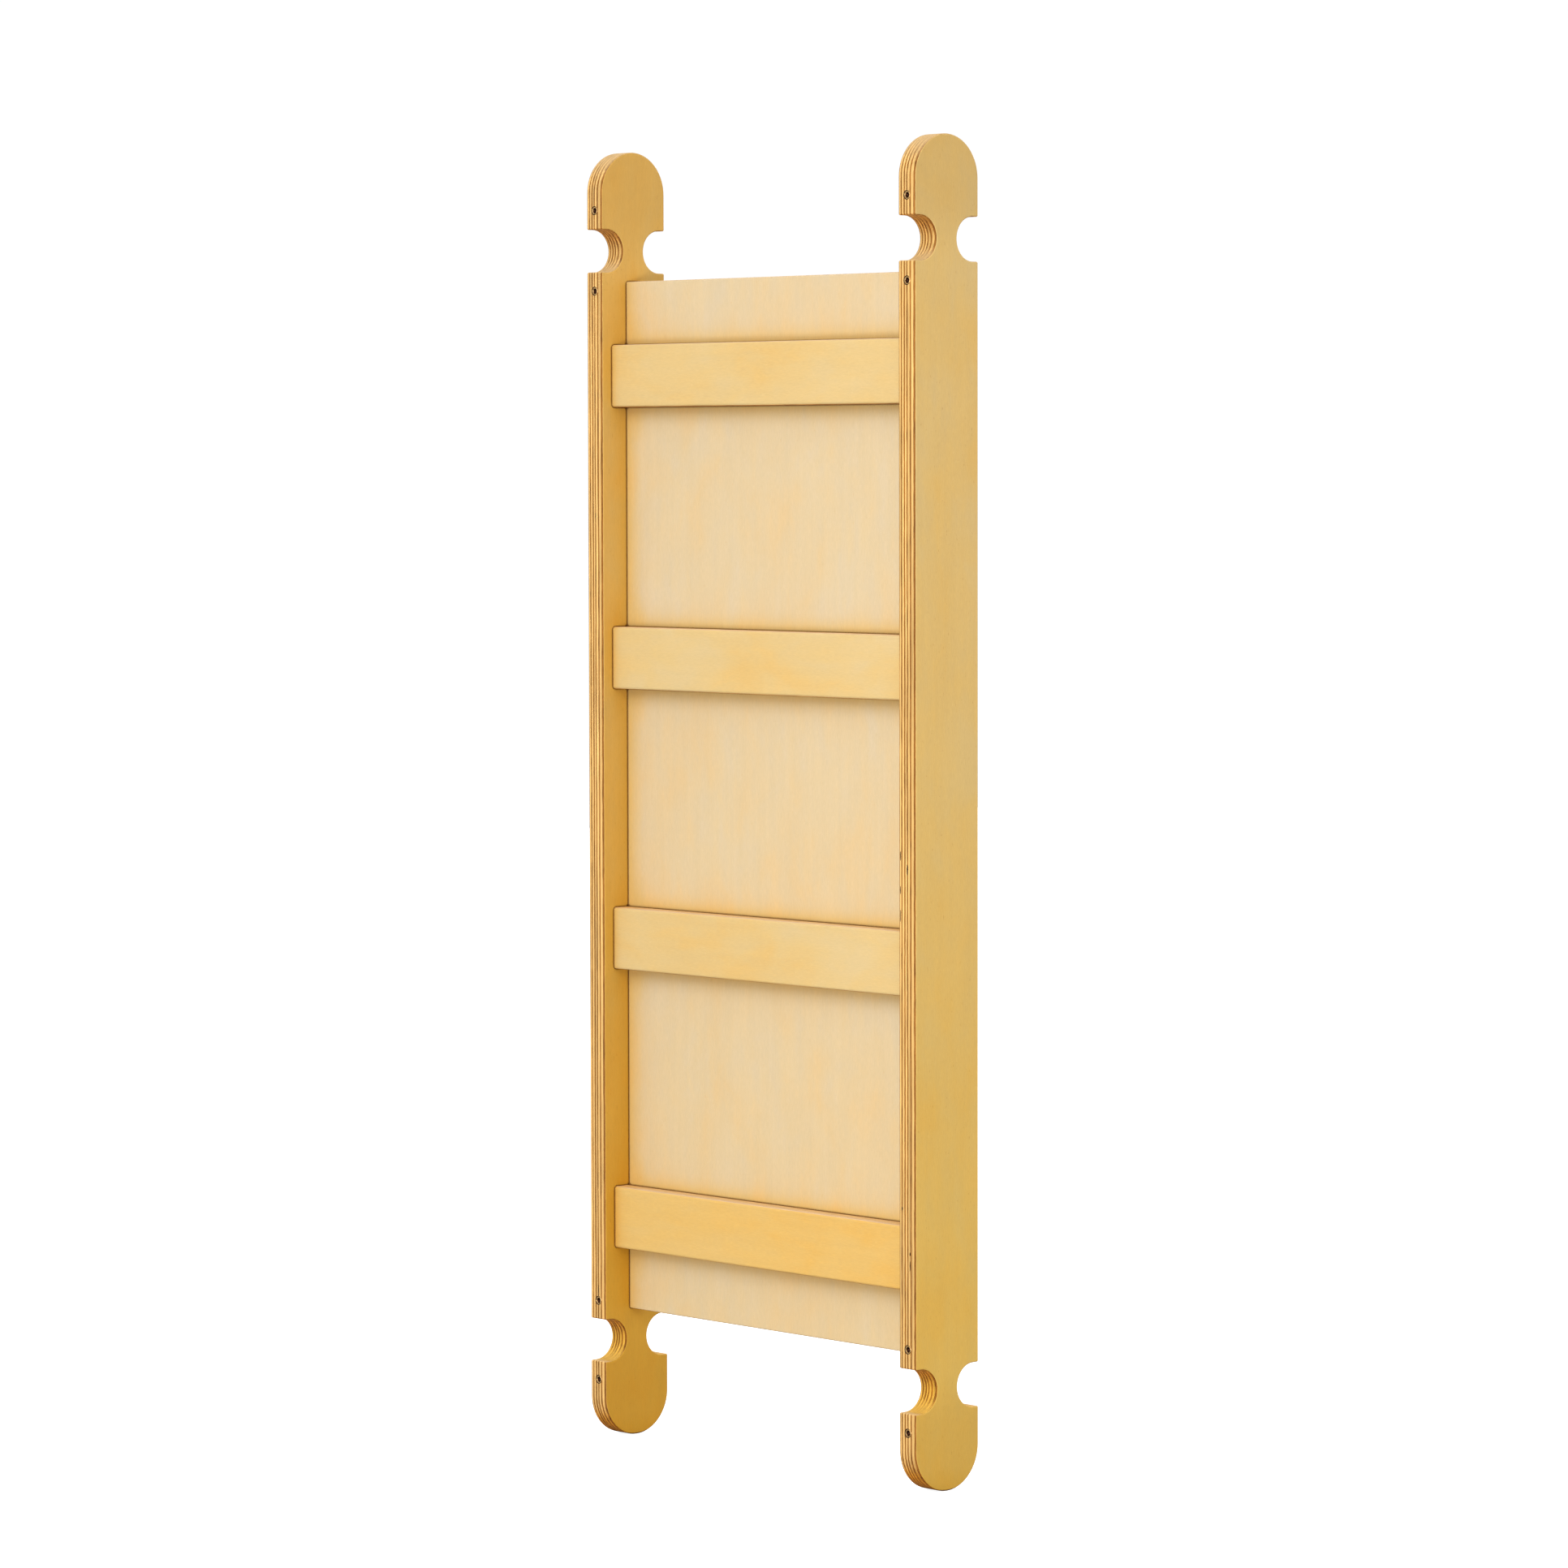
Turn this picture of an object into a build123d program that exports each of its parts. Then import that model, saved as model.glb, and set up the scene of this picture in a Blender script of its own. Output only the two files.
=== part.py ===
"""Reversible toddler slide board: two notched plywood rails, a slide panel and four climbing slats.

The board stands on end, +Z towards its head. The slats face -Y and the smooth slide face looks to +Y. The
origin lies on the axis of the top rear rung seat, midway between the rails. All sizes are in millimetres.
"""

import os

from build123d import *

# ------------------------------------------------------------------ driving sizes
board_length = 1000.0  # tip of tail to tip of head
board_width = 368.0  # over the outer faces of the two rails

rail_thickness = 18.0
rail_depth = 64.0  # front edge to rear edge
rail_edge_round = 1.2

rung_diameter = 32.0  # the round rung that a seat drops over
rung_clearance = 0.4  # between the rung and the seat's wall, all round
seat_from_end = 76.5  # rung axis to the end of the rail
seat_lead_in = 5.1  # rail edge to rung axis, the straight part of the notch
seat_lip_round = 1.2

panel_thickness = 15.0
panel_rung_gap = 7.5  # between a seated rung and the end of the panel
panel_edge_round = 1.2

slat_names = ["bottom", "lower", "upper", "top"]
slat_from_panel_end = 73.0  # end of the panel to the middle of the nearest slat
slat_height = 48.0
slat_thickness = 15.0
slat_edge_round = 2.0

dowel_diameter = 8.0
dowel_length = 30.0
dowel_end_chamfer = 0.8
dowel_glue_space = 1.0  # left beyond each end of a dowel
rail_cover = 6.0  # wood between a dowel hole and the rail's outer face
slat_dowel_spacing = 24.0  # between the two dowels in a slat end

insert_diameter = 7.0  # threaded insert for an M4 strap screw
insert_length = 10.0
insert_bore = 3.3  # minor diameter of an M4 thread
insert_mouth_chamfer = 0.5  # inside the bore's mouth and round the outer rim
insert_recess = 0.3  # mouth of the insert below the rail's front edge
insert_hole_space = 1.5  # left in the rail behind the insert
insert_offset = 31.0  # insert axis to rung axis, along the rail

# ------------------------------------------------------------------ sizes that follow from them
seat_radius = rung_diameter / 2 + rung_clearance
seat_from_middle_plane = rail_depth / 2 - seat_lead_in
seat_from_mid_length = board_length / 2 - seat_from_end

middle_y = -seat_from_middle_plane  # the origin is on the top rear seat's axis
middle_z = -seat_from_mid_length

inner_width = board_width - 2 * rail_thickness
rail_inner_x = inner_width / 2
rail_middle_x = rail_inner_x + rail_thickness / 2

panel_length = board_length - 2 * (seat_from_end + rung_diameter / 2 + panel_rung_gap)
slat_pitch = (panel_length - 2 * slat_from_panel_end) / (len(slat_names) - 1)
slat_middle_depth = -(panel_thickness + slat_thickness) / 2  # in front of the middle plane

dowel_in_rail = rail_thickness - rail_cover - dowel_glue_space
dowel_in_board = dowel_length - dowel_in_rail

slat_heights = {
    name: (place - (len(slat_names) - 1) / 2) * slat_pitch for place, name in enumerate(slat_names)
}
slat_dowel_centres = {
    name: [(slat_middle_depth, height + step) for step in (-slat_dowel_spacing / 2, slat_dowel_spacing / 2)]
    for name, height in slat_heights.items()
}
panel_dowel_centres = [(0.0, height + slat_pitch / 2) for height in list(slat_heights.values())[:-1]]
all_dowel_centres = sum(slat_dowel_centres.values(), []) + panel_dowel_centres

insert_heights = {
    f"{end}_{place}": towards_end * (seat_from_mid_length + towards_tip * insert_offset)
    for end, towards_end in (("top", 1), ("bottom", -1))
    for place, towards_tip in (("outer", 1), ("inner", -1))
}

sides = {"left": -1, "right": 1}
lip_tolerance = 0.01


def cross_plane(x):
    """Plane across the board at x: local x runs rearwards and local y up, both from the board's middle."""
    return Plane(origin=(x, middle_y, middle_z), x_dir=(0, 1, 0), z_dir=(1, 0, 0))


def front_plane(x, behind_edge=0.0):
    """Plane facing forwards at x, on the rails' front edges or behind them: local y runs up."""
    return Plane(
        origin=(x, middle_y - rail_depth / 2 + behind_edge, middle_z), x_dir=(1, 0, 0), z_dir=(0, -1, 0)
    )


def save(part, label):
    """Label a finished piece and write it to a STEP file of its own."""
    part.label = label
    export_step(part, f"parts/{label}.step")


# ------------------------------------------------------------------ side rails
def make_rail(side):
    """A plywood rail: round ends, two rung seats in each edge, blind holes for dowels and inserts."""
    outward = sides[side]
    seat_slot_length = 2 * (seat_lead_in + seat_radius)
    with BuildPart() as rail:
        with BuildSketch(cross_plane(outward * rail_middle_x)) as outline:
            SlotOverall(board_length, rail_depth, rotation=90)
            with GridLocations(rail_depth, 2 * seat_from_mid_length, 2, 2):
                SlotOverall(seat_slot_length, 2 * seat_radius, mode=Mode.SUBTRACT)
            on_edge = outline.vertices().filter_by(
                lambda corner: abs(abs(corner.X) - rail_depth / 2) < lip_tolerance
            )
            lips = on_edge.filter_by(
                lambda corner: abs(corner.Y) < seat_from_mid_length + seat_radius + lip_tolerance
            )
            fillet(lips, seat_lip_round)
        extrude(amount=rail_thickness / 2, both=True)
        fillet(rail.faces().filter_by(Axis.X).edges(), rail_edge_round)

        with BuildSketch(cross_plane(outward * rail_inner_x)):
            with Locations(*all_dowel_centres):
                Circle(dowel_diameter / 2)
        extrude(amount=outward * (dowel_in_rail + dowel_glue_space), mode=Mode.SUBTRACT)

        with BuildSketch(front_plane(outward * rail_middle_x)):
            with Locations(*[(0, height) for height in insert_heights.values()]):
                Circle(insert_diameter / 2)
        extrude(amount=-(insert_recess + insert_length + insert_hole_space), mode=Mode.SUBTRACT)
    save(rail.part, f"{side}_side_rail")


# ------------------------------------------------------------------ slide panel and slats
def make_board(label, thickness, height, depth, middle_height, edge_round, dowel_centres):
    """A board that spans the rails, its long edges rounded, with blind dowel holes in both its square ends."""
    with BuildPart() as board:
        with BuildSketch(cross_plane(-rail_inner_x)):
            with Locations((depth, middle_height)):
                Rectangle(thickness, height)
        extrude(amount=inner_width)
        fillet(board.edges().filter_by(Axis.X), edge_round)
        for outward in sides.values():
            with BuildSketch(cross_plane(outward * rail_inner_x)):
                with Locations(*dowel_centres):
                    Circle(dowel_diameter / 2)
            extrude(amount=-outward * (dowel_in_board + dowel_glue_space), mode=Mode.SUBTRACT)
    save(board.part, label)


# ------------------------------------------------------------------ dowels
def make_dowels(label, side, dowel_centres):
    """A group of wooden dowels with chamfered ends, half in a rail and half in the board it carries."""
    outward = sides[side]
    with BuildPart() as dowels:
        with BuildSketch(cross_plane(outward * (rail_inner_x + dowel_in_rail))):
            with Locations(*dowel_centres):
                Circle(dowel_diameter / 2)
        extrude(amount=-outward * dowel_length)
        chamfer(dowels.edges().filter_by(GeomType.CIRCLE), dowel_end_chamfer)
    save(dowels.part, label)


# ------------------------------------------------------------------ threaded inserts
def make_insert(side, place, height):
    """A metal insert in a rail's front edge, bored through for an M4 thread."""
    with BuildPart() as insert:
        with BuildSketch(front_plane(sides[side] * rail_middle_x, insert_recess)):
            with Locations((0, height)):
                Circle(insert_diameter / 2)
                Circle(insert_bore / 2, mode=Mode.SUBTRACT)
        extrude(amount=-insert_length)
        chamfer(insert.faces().sort_by(Axis.Y)[0].edges(), insert_mouth_chamfer)
    save(insert.part, f"strap_insert_{side}_{place}")


os.makedirs("parts", exist_ok=True)

for side in sides:
    make_rail(side)
    make_dowels(f"panel_dowels_{side}", side, panel_dowel_centres)
    for name, centres in slat_dowel_centres.items():
        make_dowels(f"{name}_slat_dowels_{side}", side, centres)
    for place, height in insert_heights.items():
        make_insert(side, place, height)

make_board("slide_panel", panel_thickness, panel_length, 0.0, 0.0, panel_edge_round, panel_dowel_centres)
for name, height in slat_heights.items():
    make_board(
        f"{name}_climbing_slat",
        slat_thickness,
        slat_height,
        slat_middle_depth,
        height,
        slat_edge_round,
        slat_dowel_centres[name],
    )

print(f"seats: radius {seat_radius:.2f}, axes {2 * seat_from_middle_plane:.1f} apart in depth")
print(f"seats: {2 * seat_from_mid_length:.1f} apart along the board, slat pitch {slat_pitch:.1f}")
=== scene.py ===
"""A reversible toddler slide board in plywood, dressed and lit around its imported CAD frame.

Two side rails, a slide panel, four climbing slats, the dowels that hold them and the threaded inserts for the
rung straps are each built as meshes in the places that the frame gives. All sizes are in metres.
"""

import logging
import math
import random
from dataclasses import dataclass
from enum import Enum
from typing import Sequence

import bmesh
import bpy
from mathutils import Matrix, Vector


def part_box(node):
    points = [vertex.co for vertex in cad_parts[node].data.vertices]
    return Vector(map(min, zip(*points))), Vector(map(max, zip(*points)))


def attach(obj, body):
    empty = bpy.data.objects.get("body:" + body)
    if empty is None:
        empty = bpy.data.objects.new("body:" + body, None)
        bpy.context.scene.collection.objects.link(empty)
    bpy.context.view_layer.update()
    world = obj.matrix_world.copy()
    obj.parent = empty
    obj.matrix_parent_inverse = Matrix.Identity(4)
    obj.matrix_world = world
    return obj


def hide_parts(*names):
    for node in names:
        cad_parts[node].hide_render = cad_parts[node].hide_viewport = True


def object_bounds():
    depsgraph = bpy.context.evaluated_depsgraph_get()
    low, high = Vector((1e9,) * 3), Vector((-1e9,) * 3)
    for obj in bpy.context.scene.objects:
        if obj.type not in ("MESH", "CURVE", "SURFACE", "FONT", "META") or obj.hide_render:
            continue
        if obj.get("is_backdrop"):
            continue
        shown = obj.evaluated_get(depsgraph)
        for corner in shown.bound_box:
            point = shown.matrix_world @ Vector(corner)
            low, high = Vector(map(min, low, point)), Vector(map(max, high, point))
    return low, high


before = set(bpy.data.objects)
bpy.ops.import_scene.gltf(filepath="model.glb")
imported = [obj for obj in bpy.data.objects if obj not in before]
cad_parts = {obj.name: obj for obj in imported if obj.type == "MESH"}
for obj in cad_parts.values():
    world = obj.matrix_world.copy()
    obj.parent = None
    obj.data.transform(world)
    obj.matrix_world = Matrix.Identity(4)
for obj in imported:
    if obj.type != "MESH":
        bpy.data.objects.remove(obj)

log = logging.getLogger("slide_board")

MM = 0.001
BODY = "root"
BOARD_SPAN = (0.15, 0.95)  # metres below the top rungs between which the lacquer's tone changes
TIP_SPAN = (0.40, 0.46)  # metres from the board's middle between which it changes again
EDGE_SPAN = (1.0 * MM, 8.0 * MM)  # from a rail's front or rear edge, between which its notches begin
FIBRES_ACROSS = 1300.0  # fine fibres per metre of veneer
DRILL_SIDES = 48
DRILL_START = 2.0 * MM  # how far outside the wood a drill begins
SIDES = ("left", "right")
SLATS = ("bottom", "lower", "upper", "top")

Colour = tuple[float, float, float]
Point = tuple[float, float]
Socket = bpy.types.NodeSocket


class Axis(Enum):
    """One of the three directions of the board: across it, through it and along it."""

    X = 0
    Y = 1
    Z = 2


# ---------------------------------------------------------------------------------------- shader helpers
class Graph:
    """A material's node tree, with short methods for the nodes that the finishes use.

    Attributes:
        material: the material.
        tree: its nodes.
        surface: its Principled surface.
        coordinates: where its patterns take their place from.
    """

    def __init__(self, name: str) -> None:
        """Make a material that holds only a Principled surface.

        Args:
            name: the material's name.
        """
        self.material = bpy.data.materials.new(name)
        self.material.use_nodes = True
        self.tree = self.material.node_tree
        self.tree.nodes.clear()
        self.surface = self.add("ShaderNodeBsdfPrincipled")
        output = self.add("ShaderNodeOutputMaterial")
        self.feed(output.inputs["Surface"], self.surface.outputs["BSDF"])
        self.coordinates = self.add("ShaderNodeTexCoord")

    def add(self, kind: str, **settings: object) -> bpy.types.Node:
        """Add a node.

        Args:
            kind: the node's type name.
            settings: attributes to set on it.

        Returns:
            The new node.
        """
        node = self.tree.nodes.new(kind)
        for key, value in settings.items():
            setattr(node, key, value)
        return node

    def feed(self, socket: Socket, value: object) -> None:
        """Link an output to an input, or set a plain value on it.

        Args:
            socket: the input.
            value: an output socket, a number, a vector or a colour.
        """
        if isinstance(value, bpy.types.NodeSocket):
            self.tree.links.new(value, socket)
        else:
            socket.default_value = value

    def math(self, operation: str, a: object, b: object = 0.0) -> Socket:
        """Do one sum on two numbers.

        Args:
            operation: the Math node's operation.
            a: the first number or output.
            b: the second number or output.

        Returns:
            The result's socket.
        """
        node = self.add("ShaderNodeMath", operation=operation)
        self.feed(node.inputs[0], a)
        self.feed(node.inputs[1], b)
        return node.outputs[0]

    def plus(self, a: object, b: object) -> Socket:
        """Return the sum of two numbers."""
        return self.math("ADD", a, b)

    def minus(self, a: object, b: object) -> Socket:
        """Return the first number less the second."""
        return self.math("SUBTRACT", a, b)

    def times(self, a: object, b: object) -> Socket:
        """Return the product of two numbers."""
        return self.math("MULTIPLY", a, b)

    def apart(self, a: object, b: object) -> Socket:
        """Return how far apart two numbers are."""
        return self.math("ABSOLUTE", self.minus(a, b))

    def rest(self, share: Socket) -> Socket:
        """Return what a share leaves of 1."""
        return self.minus(1.0, share)

    def swing(self, value: Socket, reach: object) -> Socket:
        """Return a 0 to 1 pattern centred on 0, with the given whole swing."""
        return self.times(self.minus(value, 0.5), reach)

    def tint(self, colour: Socket, by: object) -> Socket:
        """Return a colour multiplied by another."""
        return self.blend(1.0, colour, by, "MULTIPLY")

    def smooth(self, value: Socket, low: float, high: float) -> Socket:
        """Rise smoothly from 0 to 1 as a value goes from low to high.

        Args:
            value: the number to read.
            low: where the result leaves 0.
            high: where the result reaches 1.

        Returns:
            The result's socket.
        """
        node = self.add("ShaderNodeMapRange", interpolation_type="SMOOTHSTEP")
        self.feed(node.inputs["Value"], value)
        node.inputs["From Min"].default_value = low
        node.inputs["From Max"].default_value = high
        return node.outputs["Result"]

    def between(self, share: Socket, a: object, b: object) -> Socket:
        """Mix two numbers.

        Args:
            share: 0 for all a, 1 for all b.
            a: the first number or output.
            b: the second number or output.

        Returns:
            The mixed number's socket.
        """
        node = self.add("ShaderNodeMix", data_type="FLOAT")
        self.feed(node.inputs[0], share)
        self.feed(node.inputs[2], a)
        self.feed(node.inputs[3], b)
        return node.outputs[0]

    def blend(self, share: object, a: object, b: object, mode: str = "MIX") -> Socket:
        """Mix two colours.

        Args:
            share: 0 for all a, 1 for the full effect of b.
            a: the colour below.
            b: the colour above.
            mode: the Mix node's blend type.

        Returns:
            The mixed colour's socket.
        """
        node = self.add("ShaderNodeMix", data_type="RGBA", blend_type=mode)
        self.feed(node.inputs[0], share)
        for socket, colour in ((node.inputs[6], a), (node.inputs[7], b)):
            self.feed(socket, colour if isinstance(colour, bpy.types.NodeSocket) else (*colour, 1.0))
        return node.outputs[2]

    def grey(self, value: Socket) -> Socket:
        """Turn a number into a colour with three equal parts.

        Args:
            value: the number.

        Returns:
            The colour's socket.
        """
        node = self.add("ShaderNodeCombineColor")
        for channel in node.inputs:
            self.feed(channel, value)
        return node.outputs[0]

    def place(self, stretch: Sequence[float], shift: float) -> Socket:
        """Give the surface point in the object's own space, stretched and shifted.

        Args:
            stretch: how much faster the pattern runs along X, Y and Z.
            shift: moved along all three axes, so that two pieces differ.

        Returns:
            The vector's socket.
        """
        scaled = self.add("ShaderNodeVectorMath", operation="MULTIPLY_ADD")
        self.feed(scaled.inputs[0], self.coordinates.outputs["Object"])
        scaled.inputs[1].default_value = stretch
        scaled.inputs[2].default_value = (shift, shift * 1.7, shift * 2.3)
        return scaled.outputs[0]

    def noise(self, vector: Socket, detail: float = 2.0, roughness: float = 0.5, bend: float = 0.0) -> Socket:
        """Make cloudy noise from 0 to 1.

        Args:
            vector: where to read it.
            detail: how many finer layers it has.
            roughness: how strong the finer layers are.
            bend: how far it is twisted.

        Returns:
            The noise's socket.
        """
        node = self.add("ShaderNodeTexNoise")
        self.feed(node.inputs["Vector"], vector)
        node.inputs["Scale"].default_value = 1.0
        node.inputs["Detail"].default_value = detail
        node.inputs["Roughness"].default_value = roughness
        node.inputs["Distortion"].default_value = bend
        return node.outputs[0]

    def component(self, output: Socket, axis: Axis) -> Socket:
        """Take one part of a vector.

        Args:
            output: the vector.
            axis: which part.

        Returns:
            The part's socket.
        """
        node = self.add("ShaderNodeSeparateXYZ")
        self.feed(node.inputs[0], output)
        return node.outputs[axis.value]

    def spot(self, axis: Axis) -> Socket:
        """Return where the surface point is along an axis."""
        return self.component(self.coordinates.outputs["Object"], axis)

    def slope(self, axis: Axis) -> Socket:
        """Return how much the surface faces along an axis: 1 straight along it, -1 straight against it."""
        return self.component(self.coordinates.outputs["Normal"], axis)

    def facing(self, axis: Axis) -> Socket:
        """Tell how squarely the surface faces along an axis: 1 facing it either way, 0 side on.

        Args:
            axis: the direction.

        Returns:
            The number's socket.
        """
        return self.math("ABSOLUTE", self.slope(axis))

    def hidden(self, reach: float) -> Socket:
        """Tell how much of what is above the surface is filled by nearby wood, 0 to 1.

        Args:
            reach: how far off wood still counts, in metres.

        Returns:
            The number's socket.
        """
        node = self.add("ShaderNodeAmbientOcclusion", samples=8)
        node.inputs["Distance"].default_value = reach
        return self.rest(node.outputs["AO"])

    def relief(self, height: Socket, depth: float, strength: float) -> None:
        """Give the surface a fine relief.

        Args:
            height: the pattern, 0 to 1.
            depth: how deep it is, in metres.
            strength: how much of it shows.
        """
        node = self.add("ShaderNodeBump")
        node.inputs["Strength"].default_value = strength
        node.inputs["Distance"].default_value = depth
        self.feed(node.inputs["Height"], height)
        self.feed(self.surface.inputs["Normal"], node.outputs["Normal"])


# ---------------------------------------------------------------------------------------- finishes
@dataclass(frozen=True)
class Layup:
    """How a sheet of plywood is laid up.

    Attributes:
        through: the axis that the plies are stacked along.
        grain: the axis that the face veneer's fibres run along.
        cross: the axis that every second ply's fibres run along.
        plies: the plies' thicknesses, one face to the other, in any one unit.
    """

    through: Axis
    grain: Axis
    cross: Axis
    plies: tuple[float, ...]

    def stretched(self, axis: Axis, across: float, along: float) -> tuple[float, float, float]:
        """Give the stretch of a fibre pattern.

        Args:
            axis: the axis that the fibres run along.
            across: how many per metre across them.
            along: how many per metre along them.

        Returns:
            The stretch along X, Y and Z.
        """
        return tuple(along if place == axis.value else across for place in range(3))


RAIL_SHEET = Layup(
    Axis.X, Axis.Z, Axis.Y, (0.4, 0.7, 1.8, 0.9, 2.1, 1.2, 1.7, 1.0, 2.4, 1.2, 2.8, 1.4, 0.4)
)
PANEL_SHEET = Layup(Axis.Y, Axis.Z, Axis.X, (0.5, 0.5, 2.2, 1.2, 2.4, 1.4, 2.4, 1.2, 2.2, 0.5, 0.5))
SLAT_SHEET = Layup(Axis.Y, Axis.X, Axis.Z, (1.2, 2.6, 2.3, 2.8, 2.3, 2.6, 1.2))


@dataclass(frozen=True)
class PlywoodFinish:
    """Lacquered plywood: a quiet face veneer, and plies, glue lines and end grain wherever an edge is cut.

    Attributes:
        name: the material's name.
        sheet: how the plywood is laid up.
        face: the veneer's usual tone.
        warm: the veneer where it is warmest.
        cool: the veneer where it is palest.
        foot: what the lacquer's tone is multiplied by at the board's foot; it has yellowed most there.
        edge_side: a ply cut along its fibres.
        edge_end: a ply cut across its fibres.
        glue: the glue lines between plies, and the joints between pieces.
        corner_shade_tint: what the colour is multiplied by in inside corners: a painted warm shade.
        underside_shade: what a cut edge is multiplied by where it faces down: painted shade.
        topside_light: the pale colour that a cut edge is mixed towards where it faces up: painted light.
        glue_width: how wide the glue lines look, as the plies' thicknesses are given.
        seed: moves every pattern, so that no two pieces match.
        skin_depth: how deep the veneer's face colour goes.
        tips: what the lacquer's tone is multiplied by on a rail's head and tail, which are darker.
        notch_head: what a rail's cut edge is multiplied by in its notches and round its tips, at the head.
        notch_foot: the same at the foot.
        sheen: how strongly the lacquer reflects.
        face_roughness: the veneer's roughness, between its fibres and on them.
        edge_roughness: the cut edges' roughness.
        relief_depth: how deep the fibres and glue lines lie.
        corner_shade_reach: how far out of a corner the painted shade reaches.
        joint_reach: how far out of a joint the dark line reaches; it is glue in the joint, with painted shade
            in the crevice.
    """

    name: str
    sheet: Layup
    face: Colour
    warm: Colour
    cool: Colour
    foot: Colour
    edge_side: Colour
    edge_end: Colour
    glue: Colour
    corner_shade_tint: Colour
    underside_shade: Colour
    topside_light: Colour
    glue_width: float
    seed: float
    skin_depth: float = 0.4 * MM
    tips: Colour = (0.91, 0.885, 0.82)
    notch_head: Colour = (0.94, 0.94, 0.95)
    notch_foot: Colour = (0.98, 0.88, 0.34)
    sheen: float = 0.15
    face_roughness: tuple[float, float] = (0.42, 0.56)
    edge_roughness: float = 0.75
    relief_depth: float = 0.12 * MM
    corner_shade_reach: float = 28.0 * MM
    joint_reach: float = 2.6 * MM

    def material(self, low: Vector, high: Vector) -> bpy.types.Material:
        """Make the finish for one piece.

        Args:
            low: the piece's lowest corner.
            high: the piece's highest corner.

        Returns:
            The material.
        """
        graph = Graph(self.name)
        sheet = self.sheet
        fibres = self.pattern(graph, sheet.grain, FIBRES_ACROSS, 190.0, 1, 3.0, 0.65)
        start, end = low[sheet.through.value], high[sheet.through.value]
        place = graph.spot(sheet.through)
        skin_start = (end - start) / 2 - self.skin_depth
        on_face = graph.smooth(graph.apart(place, (start + end) / 2), skin_start, skin_start + 0.2 * MM)
        share = graph.math("DIVIDE", graph.minus(place, start), end - start)
        edge, groove = self.edge_colour(graph, share)
        edge = self.shaded_by_facing(graph, edge)
        if sheet.through is Axis.X:
            edge = self.in_notches(graph, edge, low, high)
        colour = graph.blend(on_face, edge, self.yellowed(graph, fibres, (low.z + high.z) / 2))
        graph.feed(graph.surface.inputs["Base Color"], self.with_corner_shade(graph, colour))
        smooth, rough = self.face_roughness
        veneer = graph.plus(graph.times(fibres, rough - smooth), smooth)
        graph.feed(graph.surface.inputs["Roughness"], graph.between(on_face, self.edge_roughness, veneer))
        graph.surface.inputs["Specular IOR Level"].default_value = self.sheen
        graph.relief(graph.between(on_face, groove, fibres), self.relief_depth, 0.35)
        return graph.material

    def pattern(
        self, graph: Graph, axis: Axis, across: float, along: float, shift: int, *grit: float
    ) -> Socket:
        """Make noise that is drawn out along the fibres.

        Args:
            graph: the material's nodes.
            axis: the axis that the fibres run along.
            across: how many per metre across them.
            along: how many per metre along them.
            shift: how many times the seed it is moved by.
            grit: the noise's detail, roughness and bend.

        Returns:
            The noise's socket.
        """
        return graph.noise(graph.place(self.sheet.stretched(axis, across, along), shift * self.seed), *grit)

    def with_corner_shade(self, graph: Graph, colour: Socket) -> Socket:
        """Paint a warm shade into the inside corners, and darken the joints themselves with glue colour and
        painted shade in the crevice.

        Args:
            graph: the material's nodes.
            colour: the wood's colour in the open.

        Returns:
            The colour's socket.
        """
        # painted shade: a warm, darker tint wherever ambient occlusion finds wood close by
        corner_shade_tint = graph.tint(colour, self.corner_shade_tint)
        colour = graph.blend(graph.smooth(graph.hidden(self.corner_shade_reach), 0.08, 0.5), colour, corner_shade_tint)
        joint = graph.times(graph.smooth(graph.hidden(self.joint_reach), 0.2, 0.4), 0.95)
        return graph.blend(joint, colour, self.glue)

    def shaded_by_facing(self, graph: Graph, edge: Socket) -> Socket:
        """Darken the cut edges that face down and pale those that face up: painted shade and painted light by
        which way they face.

        Args:
            graph: the material's nodes.
            edge: the cut edge's colour.

        Returns:
            The colour's socket.
        """
        rise = graph.slope(Axis.Z)
        fall = graph.times(rise, -1.0)
        # painted shade on edges that face down, painted light on edges that face up
        colour = graph.blend(graph.smooth(fall, -0.1, 0.85), edge, graph.tint(edge, self.underside_shade))
        return graph.blend(graph.times(graph.smooth(rise, 0.25, 0.95), 0.65), colour, self.topside_light)

    def down(self, graph: Graph) -> Socket:
        """Return how far down the board a point is: 0 at the head and 1 at the foot."""
        return graph.smooth(graph.times(graph.spot(Axis.Z), -1.0), *BOARD_SPAN)

    def in_notches(self, graph: Graph, edge: Socket, low: Vector, high: Vector) -> Socket:
        """Deepen a rail's cut edges in its notches and round its tips, where more lacquer has sunk in.

        Args:
            graph: the material's nodes.
            edge: the cut edge's colour.
            low: the rail's lowest corner.
            high: the rail's highest corner.

        Returns:
            The colour's socket.
        """
        reach = (high.y - low.y) / 2
        near, far = EDGE_SPAN
        outer = graph.smooth(graph.apart(graph.spot(Axis.Y), (low.y + high.y) / 2), reach - far, reach - near)
        deep = graph.tint(edge, graph.blend(self.down(graph), self.notch_head, self.notch_foot))
        return graph.blend(graph.rest(outer), edge, deep)

    def yellowed(self, graph: Graph, fibres: Socket, middle: float) -> Socket:
        """Yellow the face veneer towards the board's foot, and darken it at both tips.

        Args:
            graph: the material's nodes.
            fibres: the fine fibre pattern.
            middle: the height of the piece's middle.

        Returns:
            The colour's socket.
        """
        out = graph.smooth(graph.apart(graph.spot(Axis.Z), middle), *TIP_SPAN)
        colour = self.face_colour(graph, fibres)
        colour = graph.blend(self.down(graph), colour, graph.tint(colour, self.foot))
        return graph.blend(out, colour, graph.tint(colour, self.tips))

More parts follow.
